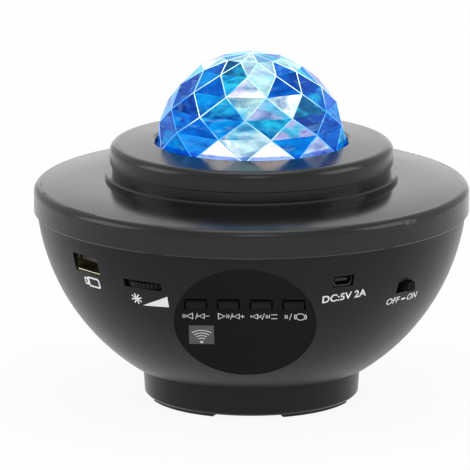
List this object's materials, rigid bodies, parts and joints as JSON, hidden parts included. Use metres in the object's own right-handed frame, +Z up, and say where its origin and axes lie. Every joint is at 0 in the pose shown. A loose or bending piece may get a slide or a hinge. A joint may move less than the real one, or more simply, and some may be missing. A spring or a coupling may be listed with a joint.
{
  "type": "star night light projector",
  "caption": "Table-top star night light projector: bowl-shaped black housing with a stepped lid, a faceted glowing dome, side sockets, a dimmer wheel, a slide switch and a key panel.",
  "frame": {"origin": "on the standing surface, under the middle of the bowl", "axes": "+Z up, the control panel faces -Y, +X is to the right seen from the front"},
  "size_m": [0.1634, 0.1634, 0.1312],
  "materials": {
    "black_plastic": "satin gloss",
    "lid_plastic": "satin gloss",
    "rubber": "matte",
    "steel": "zinc plated",
    "crystal": "clear moulded",
    "ripple_lens": "clear moulded",
    "grating": "film",
    "white_nylon": "moulded",
    "motor_steel": "nickel plated",
    "alloy": "milled",
    "board": "solder mask",
    "lamp": "moulded",
    "brass": "turned",
    "window": "smoked",
    "receiver": "epoxy",
    "socket_metal": "plated",
    "socket_plastic": "moulded",
    "basket_steel": "pressed",
    "paper_cone": "pulp",
    "control_plastic": "moulded",
    "key_plastic": "satin",
    "plunger": "moulded",
    "tact": "pressed"
  },
  "bodies": {
    "housing": {"base_drum": "black_plastic", "base_screws": "steel", "bowl_shell": "black_plastic", "collar_screws": "steel", "control_panel": "black_plastic", "crystal_dome": "crystal", "dc_socket_shell": "socket_metal", "dc_socket_tongue": "socket_plastic", "dimmer_base": "control_plastic", "dome_collar": "lid_plastic", "gear_motor": "motor_steel", "heat_sink": "alloy", "ir_receiver": "receiver", "ir_window": "window", "key_board": "board", "key_board_screws": "steel", "lamp_tray": "white_nylon", "laser_module": "brass", "led_board": "board", "led_lamps": "lamp", "main_board": "board", "main_board_screws": "steel", "rubber_feet": "rubber", "slide_switch_body": "control_plastic", "speaker_basket": "basket_steel", "speaker_cone": "paper_cone", "speaker_magnet": "motor_steel", "tact_switch_1": "tact", "tact_switch_2": "tact", "tact_switch_3": "tact", "tact_switch_4": "tact", "top_cover": "lid_plastic", "usb_socket_shell": "socket_metal", "usb_socket_tongue": "socket_plastic"},
    "rotor": {"rotor_gear": "white_nylon", "ripple_dome": "ripple_lens", "diffraction_grating": "grating"},
    "pinion": {"drive_pinion": "white_nylon", "motor_shaft": "motor_steel"},
    "dimmer": {"dimmer_wheel": "control_plastic"},
    "switch": {"slide_switch_knob": "control_plastic"},
    "key_1": {"key_button_1": "key_plastic", "switch_plunger_1": "plunger"},
    "key_2": {"key_button_2": "key_plastic", "switch_plunger_2": "plunger"},
    "key_3": {"key_button_3": "key_plastic", "switch_plunger_3": "plunger"},
    "key_4": {"key_button_4": "key_plastic", "switch_plunger_4": "plunger"}
  },
  "joints": [
    {"name": "rotor_spin", "type": "hinge", "parent": "housing", "child": "rotor", "pos_m": [0, 0, 0.0803], "axis": [0, 0, 1], "continuous": true},
    {"name": "pinion_spin", "type": "hinge", "parent": "housing", "child": "pinion", "pos_m": [0.032, 0, 0.0803], "axis": [0, 0, 1], "continuous": true},
    {"name": "dimmer_turn", "type": "hinge", "parent": "housing", "child": "dimmer", "pos_m": [-0.0335, -0.05994, 0.05785], "axis": [0, 0, 1], "range_deg": [-135, 135]},
    {"name": "power_slide", "type": "slide", "parent": "housing", "child": "switch", "axis": [-0.6481, -0.7615, 0], "range_m": [0, 0.003]},
    {"name": "key_1_press", "type": "slide", "parent": "housing", "child": "key_1", "axis": [0, 0.8788, 0.4772], "range_m": [0, 0.0005], "stiffness_N_per_m": 600},
    {"name": "key_2_press", "type": "slide", "parent": "housing", "child": "key_2", "axis": [0, 0.8788, 0.4772], "range_m": [0, 0.0005], "stiffness_N_per_m": 600},
    {"name": "key_3_press", "type": "slide", "parent": "housing", "child": "key_3", "axis": [0, 0.8788, 0.4772], "range_m": [0, 0.0005], "stiffness_N_per_m": 600},
    {"name": "key_4_press", "type": "slide", "parent": "housing", "child": "key_4", "axis": [0, 0.8788, 0.4772], "range_m": [0, 0.0005], "stiffness_N_per_m": 600}
  ],
  "couplings": [
    {"joint": "pinion_spin", "follows": "rotor_spin", "ratio": -5.6667}
  ]
}
